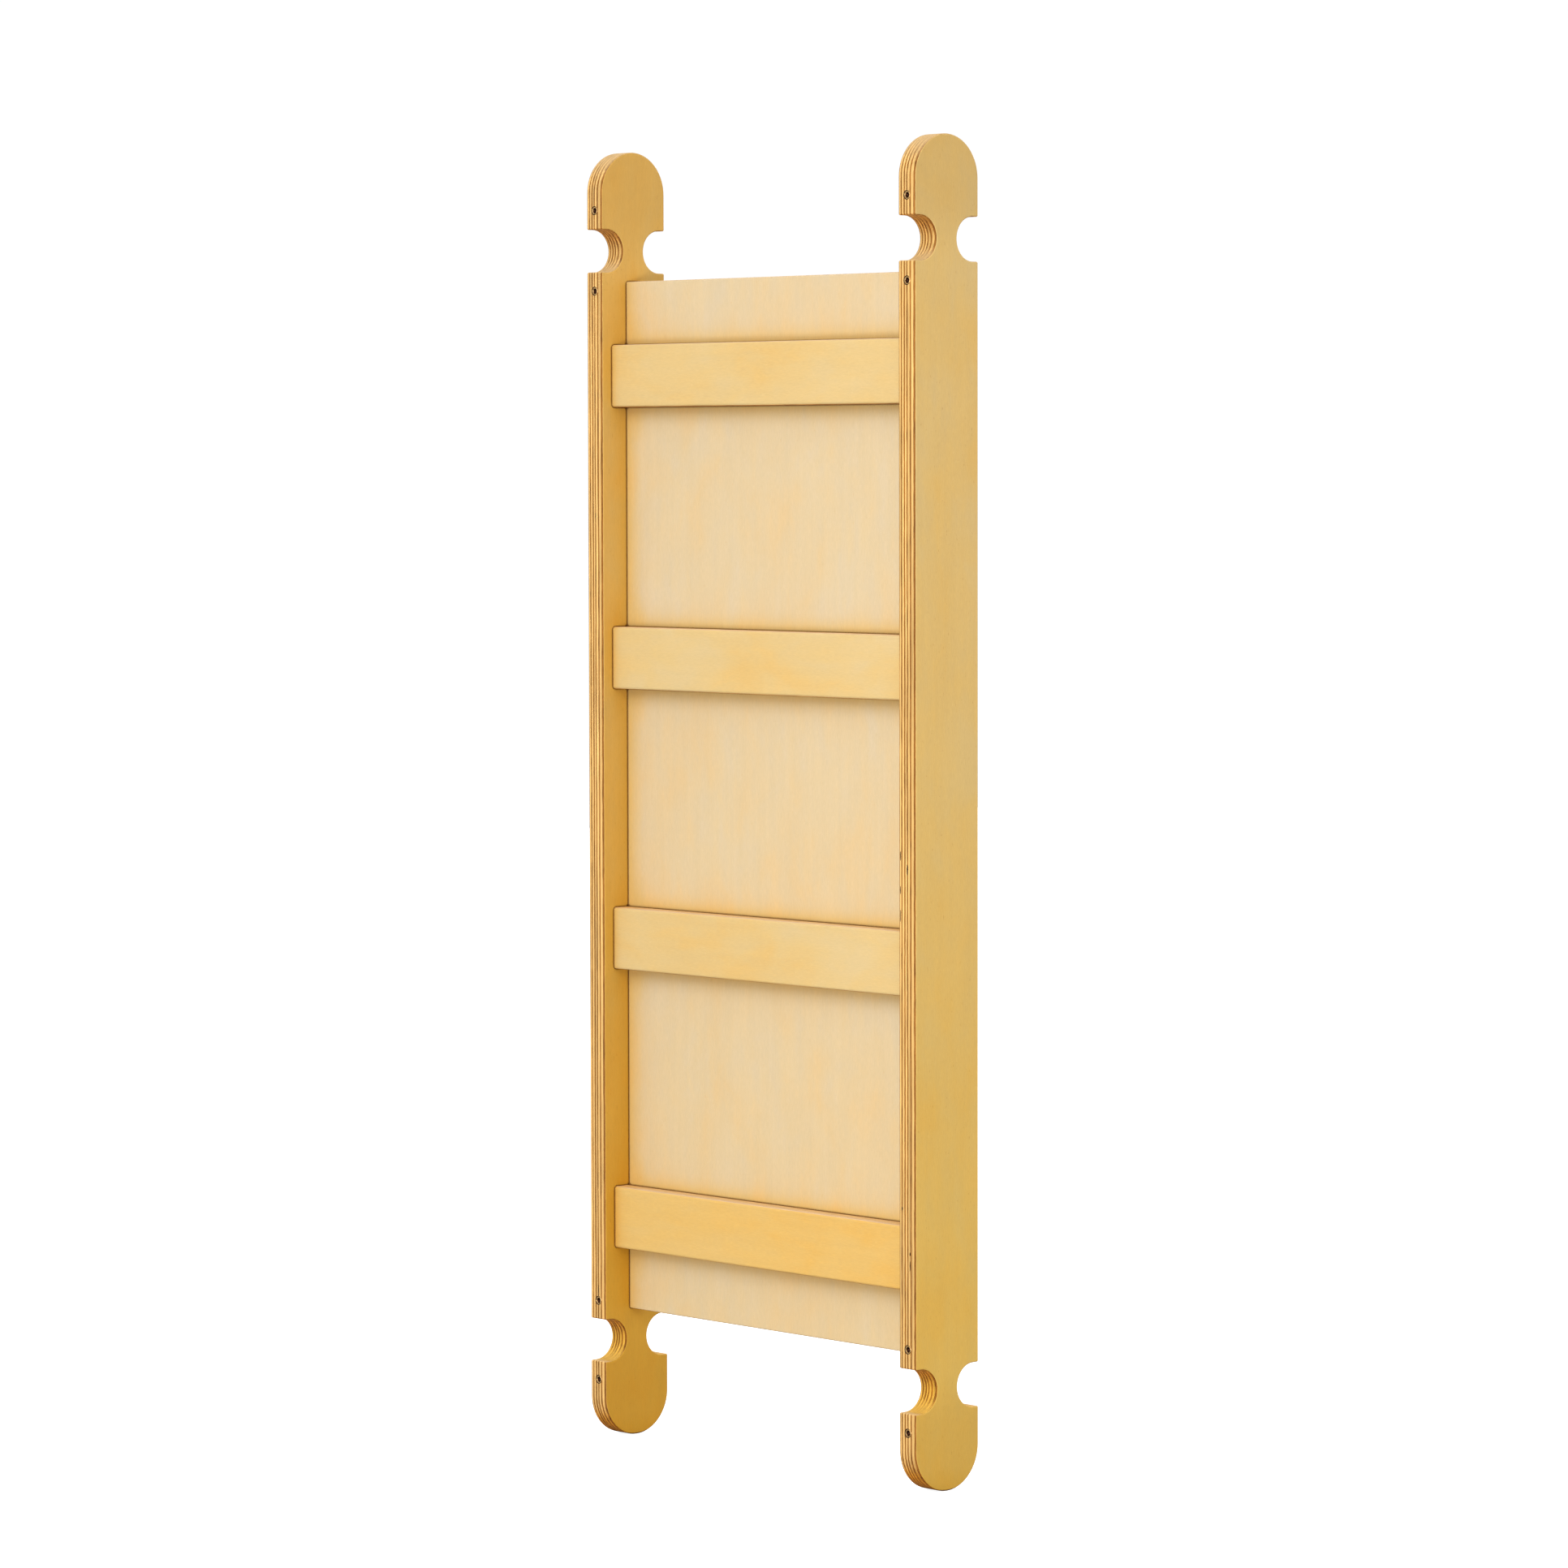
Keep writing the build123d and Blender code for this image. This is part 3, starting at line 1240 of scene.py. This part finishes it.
# ---------------------------------------------------------------------------------------- dowels
@dataclass
class DowelGroup:
    """The fluted dowels that join one end of a board to a rail.

    Attributes:
        node: the frame's node.
        flutes: how many glue flutes run along a dowel.
        flute_depth: how deep they are.
        end_chamfer: the chamfer round its ends.
    """

    node: str
    flutes: int = 20
    flute_depth: float = 0.22 * MM
    end_chamfer: float = 0.8 * MM

    def outward(self) -> float:
        """Return 1 on the +X side of the board and -1 on the other."""
        return -1.0 if self.node.endswith("left") else 1.0

    def radius(self) -> float:
        """Return a dowel's radius."""
        low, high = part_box(self.node)
        return (high.y - low.y) / 2

    def tip(self, way: float) -> float:
        """Return the dowels' end towards +X or -X.

        Args:
            way: 1 for the +X end and -1 for the other.
        """
        low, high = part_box(self.node)
        return high.x if way > 0 else low.x

    def centres(self) -> list[Vector]:
        """Return the middles of the dowels, from the lowest up."""
        low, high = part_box(self.node)
        count = 3 if self.node.startswith("panel") else 2
        first, last = low.z + self.radius(), high.z - self.radius()
        middle = (low + high) / 2
        return [Vector((middle.x, middle.y, first + (last - first) * n / (count - 1))) for n in range(count)]

    def drills(self, mouth: float, bottom: float) -> list[bpy.types.Object]:
        """Make the drills for the group's holes in one piece.

        Args:
            mouth: where the drills start, along X.
            bottom: where the holes end.

        Returns:
            The drills.
        """
        tools = []
        for centre in self.centres():
            place = Vector(((mouth + bottom) / 2, centre.y, centre.z))
            tools.append(rod(place, Axis.X, self.radius(), abs(mouth - bottom), "dowel_drill"))
        return tools

    def build(self, finish: bpy.types.Material) -> bpy.types.Object:
        """Build the group.

        Args:
            finish: the dowels' finish.

        Returns:
            The dowels, as one piece.
        """
        low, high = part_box(self.node)
        radius, sides = self.radius(), 4 * self.flutes
        ends = ((low.x, self.end_chamfer, 0.0), (low.x + self.end_chamfer, 0.0, 0.0))
        body = ((low.x + 2 * self.end_chamfer, 0.0, 1.0), (high.x - 2 * self.end_chamfer, 0.0, 1.0))
        tail = ((high.x - self.end_chamfer, 0.0, 0.0), (high.x, self.end_chamfer, 0.0))
        joined = bmesh.new()
        for centre in self.centres():
            rings = []
            for across, inset, fluted in (*ends, *body, *tail):
                ring = []
                for place in range(sides):
                    angle = math.tau * place / sides
                    flute = fluted * self.flute_depth * (0.5 - 0.5 * math.cos(angle * self.flutes)) ** 2
                    reach = radius - inset - flute
                    back, up = reach * math.cos(angle), reach * math.sin(angle)
                    ring.append((across, centre.y + back, centre.z + up))
                rings.append(ring)
            one = skin(rings, "dowel")
            joined.from_mesh(one.data)
            bpy.data.objects.remove(one)
        group = finished(joined, self.node.replace("dowels", "dowel_row"))
        group.data.materials.append(finish)
        return dress(group, self.node, 50.0)


def dowel_groups(side: str) -> list[DowelGroup]:
    """List the dowel groups on one side.

    Args:
        side: "left" or "right".

    Returns:
        The groups: the panel's, then the slats' from the bottom up.
    """
    return [DowelGroup(f"panel_dowels_{side}")] + [DowelGroup(f"{slat}_slat_dowels_{side}") for slat in SLATS]


# ---------------------------------------------------------------------------------------- threaded inserts
def strap_inserts(side: str) -> list[str]:
    """List the frame's insert nodes on one side.

    Args:
        side: "left" or "right".

    Returns:
        The nodes' names, from the tail up.
    """
    ends = (("bottom", "outer"), ("bottom", "inner"), ("top", "inner"), ("top", "outer"))
    return [f"strap_insert_{side}_{end}_{place}" for end, place in ends]


@dataclass
class StrapInsert:
    """A threaded metal insert: a coarse thread that bites the wood and a fine one for the strap's screw.

    Attributes:
        node: the frame's node.
        bore: the fine thread's smallest radius.
        fine_pitch: the fine thread's pitch.
        fine_depth: its depth.
        coarse_pitch: the coarse thread's pitch.
        coarse_depth: its depth.
        rim_chamfer: the chamfer round the rim.
        mouth_chamfer: the chamfer round the bore, at both its ends.
        collar_gap: the gap between the rim and the wood, above the coarse thread.
        collar: the length of the plain part under the rim.
        shoulder: the length over which it widens to the coarse thread.
        run_out: how far the coarse thread stops short of the inner end.
        sides: how many sides it is drawn with.
        coarse_rows: how many rows the coarse thread is drawn in.
        fine_rows: how many the fine one is drawn in.
    """

    node: str
    bore: float = 1.65 * MM
    fine_pitch: float = 0.7 * MM
    fine_depth: float = 0.38 * MM
    coarse_pitch: float = 2.5 * MM
    coarse_depth: float = 0.55 * MM
    rim_chamfer: float = 0.2 * MM
    mouth_chamfer: float = 0.6 * MM
    collar_gap: float = 0.45 * MM
    collar: float = 0.7 * MM
    shoulder: float = 0.2 * MM
    run_out: float = 0.6 * MM
    sides: int = 48
    coarse_rows: int = 44
    fine_rows: int = 60

    def section(self, length: float, outer: float) -> list[tuple[float, float, float, float]]:
        """Draw the wall's section as a closed loop.

        Args:
            length: the insert's length.
            outer: its outer radius.

        Returns:
            For each point: its depth from the mouth, its radius, and how far the fine and coarse threads
            move it.
        """
        rim, mouth = self.rim_chamfer, self.mouth_chamfer
        neck = outer - self.collar_gap
        loop = [(0.0, neck - rim, 0.0, 0.0), (rim, neck, 0.0, 0.0), (rim + self.collar, neck, 0.0, 0.0)]
        start, end = rim + self.collar + self.shoulder, length - self.run_out
        for row in range(self.coarse_rows + 1):
            loop.append((start + (end - start) * row / self.coarse_rows, outer, 0.0, 1.0))
        loop += [(length, outer - self.coarse_depth, 0.0, 0.0), (length, self.bore + mouth, 0.0, 0.0)]
        start, end = length - mouth, mouth
        for row in range(self.fine_rows + 1):
            loop.append((start + (end - start) * row / self.fine_rows, self.bore, 1.0, 0.0))
        loop.append((0.0, self.bore + mouth, 0.0, 0.0))
        return loop

    def build(self, finish: bpy.types.Material) -> bpy.types.Object:
        """Build the insert.

        Args:
            finish: the insert's finish.

        Returns:
            The insert.
        """
        low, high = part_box(self.node)
        middle = (low + high) / 2
        rings = []
        for depth, radius, fine, coarse in self.section(high.y - low.y, (high.x - low.x) / 2):
            ring = []
            for place in range(self.sides):
                turn = place / self.sides
                fine_wave = abs(2 * ((depth / self.fine_pitch - turn) % 1.0) - 1.0)
                coarse_wave = min(1.0, 2.2 * abs(2 * ((depth / self.coarse_pitch - turn) % 1.0) - 1.0))
                reach = radius + fine * self.fine_depth * fine_wave - coarse * self.coarse_depth * coarse_wave
                angle = math.tau * turn
                ring.append(
                    (middle.x + reach * math.cos(angle), low.y + depth, middle.z + reach * math.sin(angle))
                )
            rings.append(ring)
        insert = skin(rings, self.node.replace("strap_insert", "strap_nut"), caps=False)
        insert.data.materials.append(finish)
        return dress(insert, self.node, 40.0)


# ---------------------------------------------------------------------------------------- studio
def bearing(azimuth: float, elevation: float) -> Vector:
    """Give the direction from the board to something that stands round it.

    Args:
        azimuth: in degrees from straight in front towards +X.
        elevation: how high it stands, in degrees.

    Returns:
        The direction, of length 1.
    """
    turn, rise = math.radians(azimuth), math.radians(elevation)
    return Vector((math.sin(turn) * math.cos(rise), -math.cos(turn) * math.cos(rise), math.sin(rise)))


@dataclass(frozen=True)
class Softbox:
    """A square soft light that looks at the board.

    Attributes:
        name: the light's name.
        azimuth: where it stands round the board, in degrees from straight in front towards +X.
        elevation: how high it stands, in degrees.
        distance: how far off it is.
        size: the length of its sides.
        power: in watts.
        drop: how far below the board's middle it is centred and aimed.
    """

    name: str
    azimuth: float
    elevation: float
    distance: float
    size: float
    power: float
    drop: float

    def build(self, aim: Vector) -> bpy.types.Object:
        """Hang the light.

        Args:
            aim: the point it looks at.

        Returns:
            The light.
        """
        data = bpy.data.lights.new(self.name, "AREA")
        data.shape = "SQUARE"
        data.size = self.size
        data.energy = self.power
        light = bpy.data.objects.new(self.name, data)
        back = bearing(self.azimuth, self.elevation)
        light.location = aim + self.distance * back - Vector((0.0, 0.0, self.drop))
        light.rotation_mode = "QUATERNION"
        light.rotation_quaternion = (-back).to_track_quat("-Z", "Y")
        bpy.context.scene.collection.objects.link(light)
        return light


@dataclass
class Studio:
    """A white studio: a pale floor, soft lights and the camera.

    Attributes:
        lights: the soft lights.
        sky: how bright the white surroundings are as a light, level with the board.
        zenith: the same straight above it.
        backdrop: how bright they look.
        azimuth: where the camera stands round the board, in degrees.
        elevation: how high it stands, in degrees.
        roll: its slight tilt, in degrees.
        distance: from the point it looks at.
        aim_across: that point, to the right of the board's middle.
        aim_up: and above it.
        lens: the lens's focal length, in millimetres.
        floor_reach: half the floor's length.
        floor_depth: how thick it is.
    """

    lights: Sequence[Softbox]
    sky: float = 0.82
    zenith: float = 1.3
    backdrop: float = 1.02
    azimuth: float = 47.62
    elevation: float = 3.14
    roll: float = -0.117
    distance: float = 4.4422
    aim_across: float = 0.0041
    aim_up: float = 0.0166
    lens: float = 134.5
    floor_reach: float = 6.0
    floor_depth: float = 0.02

    def build_floor(self, height: float) -> bpy.types.Object:
        """Lay the floor.

        Args:
            height: how high it lies.

        Returns:
            The floor.
        """
        far = self.floor_reach
        corners = ((far, far), (-far, far), (-far, -far), (far, -far))
        rings = [[(x, y, height - depth) for x, y in corners] for depth in (0.0, self.floor_depth)]
        floor = skin(rings, "studio_floor")
        floor.data.materials.append(FloorFinish().material())
        floor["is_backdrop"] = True
        return floor

    def build_sky(self) -> None:
        """Make the white surroundings, which look white and light the board softly from all round."""
        world = bpy.data.worlds.new("white_studio")
        world.use_nodes = True
        tree = world.node_tree
        tree.nodes.clear()
        output = tree.nodes.new("ShaderNodeOutputWorld")
        seen = tree.nodes.new("ShaderNodeBackground")
        seen.inputs["Strength"].default_value = self.backdrop
        light = tree.nodes.new("ShaderNodeBackground")
        direction = tree.nodes.new("ShaderNodeTexCoord")
        parts = tree.nodes.new("ShaderNodeSeparateXYZ")
        rise = tree.nodes.new("ShaderNodeMapRange")
        rise.inputs["To Min"].default_value = self.sky
        rise.inputs["To Max"].default_value = self.zenith
        tree.links.new(direction.outputs["Generated"], parts.inputs[0])
        tree.links.new(parts.outputs["Z"], rise.inputs["Value"])
        tree.links.new(rise.outputs["Result"], light.inputs["Strength"])
        for background in (seen, light):
            background.inputs["Color"].default_value = (1.0, 1.0, 1.0, 1.0)
        path = tree.nodes.new("ShaderNodeLightPath")
        mix = tree.nodes.new("ShaderNodeMixShader")
        tree.links.new(path.outputs["Is Camera Ray"], mix.inputs[0])
        tree.links.new(light.outputs[0], mix.inputs[1])
        tree.links.new(seen.outputs[0], mix.inputs[2])
        tree.links.new(mix.outputs[0], output.inputs["Surface"])
        bpy.context.scene.world = world

    def build_camera(self, middle: Vector) -> bpy.types.Object:
        """Set up the camera.

        Args:
            middle: the board's middle.

        Returns:
            The camera.
        """
        turn = math.radians(self.azimuth)
        back = bearing(self.azimuth, self.elevation)
        right = Vector((math.cos(turn), math.sin(turn), 0.0))
        up = back.cross(right)
        data = bpy.data.cameras.new("camera")
        data.lens = self.lens
        data.sensor_width = 36.0
        data.clip_end = 50.0
        camera = bpy.data.objects.new("camera", data)
        aim = middle + self.aim_across * right + self.aim_up * up
        turned = Matrix((right, up, back)).transposed() @ Matrix.Rotation(math.radians(self.roll), 3, "Z")
        camera.matrix_world = Matrix.Translation(aim + self.distance * back) @ turned.to_4x4()
        bpy.context.scene.collection.objects.link(camera)
        bpy.context.scene.camera = camera
        return camera

    def build(self, low: Vector, high: Vector) -> None:
        """Build the studio round the board.

        Args:
            low: the board's lowest corner.
            high: its highest corner.
        """
        middle = (low + high) / 2
        self.build_floor(low.z)
        self.build_sky()
        for light in self.lights:
            light.build(middle)
        self.build_camera(middle)
        scene = bpy.context.scene
        scene.view_settings.view_transform = "Standard"
        scene.view_settings.look = "None"
        log.info("studio: %d lights, floor at %.4f m", len(self.lights), low.z)


# ---------------------------------------------------------------------------------------- the whole board
@dataclass
class SlideBoard:
    """The whole slide board: rails, panel, slats, dowels and inserts."""

    def rails(self) -> list[SideRail]:
        """Return the two rails, each with its own tone and its own gaps."""
        left = PlywoodFinish("left_rail_plywood", seed=1.3, **LEFT_RAIL_TONES)
        right = PlywoodFinish("right_rail_plywood", seed=4.9, **RIGHT_RAIL_TONES)
        right_gaps = (
            PlyGap(-0.462, 8.8, 9.0, 1.9),
            PlyGap(-0.452, 16.2, 8.0, 1.0),
            PlyGap(-0.477, 16.2, 7.0, 0.9),
            PlyGap(-0.496, 16.2, 10.0, 0.8),
            PlyGap(-0.712, 14.5, 3.5, 1.3),
            PlyGap(-0.745, 6.3, 3.0, 1.5),
            PlyGap(-0.754, 6.3, 9.0, 1.0),
        )
        left_gaps = (PlyGap(-0.808, 9.0, 10.0, 0.8), PlyGap(-0.205, 9.2, 7.0, 0.6))
        return [SideRail("left", left, left_gaps), SideRail("right", right, right_gaps)]

    def boards(self) -> list[Board]:
        """Return the panel, then the slats from the bottom up."""
        panel = PlywoodFinish("panel_plywood", seed=2.7, **PANEL_TONES)
        dowels = [f"panel_dowels_{side}" for side in SIDES]
        boards = [Board("slide_board_panel", "slide_panel", "panel_plywood", panel, dowels, 1.2 * MM)]
        for count, slat in enumerate(SLATS):
            tones = BOTTOM_SLAT_TONES if count == 0 else SLAT_TONES
            finish = PlywoodFinish(f"{slat}_slat_wood", seed=6.1 + 1.7 * count, **tones)
            dowels = [f"{slat}_slat_dowels_{side}" for side in SIDES]
            boards.append(
                Board(f"{slat}_slat", f"{slat}_climbing_slat", "slat_wood", finish, dowels, 2.0 * MM)
            )
        return boards

    def build(self) -> None:
        """Build every piece."""
        shaded_lining = GapWoodAndShadeFinish().material()
        for rail in self.rails():
            rail.build(shaded_lining)
        for board in self.boards():
            board.build(shaded_lining)
        beech = DowelFinish().material()
        zinc = ZincFinish().material(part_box(strap_inserts(SIDES[0])[0])[0].y)
        for side in SIDES:
            for group in dowel_groups(side):
                group.build(beech)
            for insert in strap_inserts(side):
                StrapInsert(insert).build(zinc)


def main() -> None:
    """Build the board, then the studio round it."""
    logging.basicConfig(level=logging.INFO, format="%(message)s")
    frame_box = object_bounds()
    SlideBoard().build()
    lights = (
        Softbox("key_softbox", azimuth=24.0, elevation=36.0, distance=4.2, size=2.3, power=80.5, drop=0.35),
        Softbox("fill_softbox", azimuth=42.0, elevation=4.0, distance=2.6, size=0.5, power=34.0, drop=0.41),
        Softbox("rear_softbox", azimuth=190.0, elevation=30.0, distance=3.3, size=1.8, power=62.0, drop=0.1),
    )
    Studio(lights).build(*frame_box)


if __name__ == "__main__":
    main()
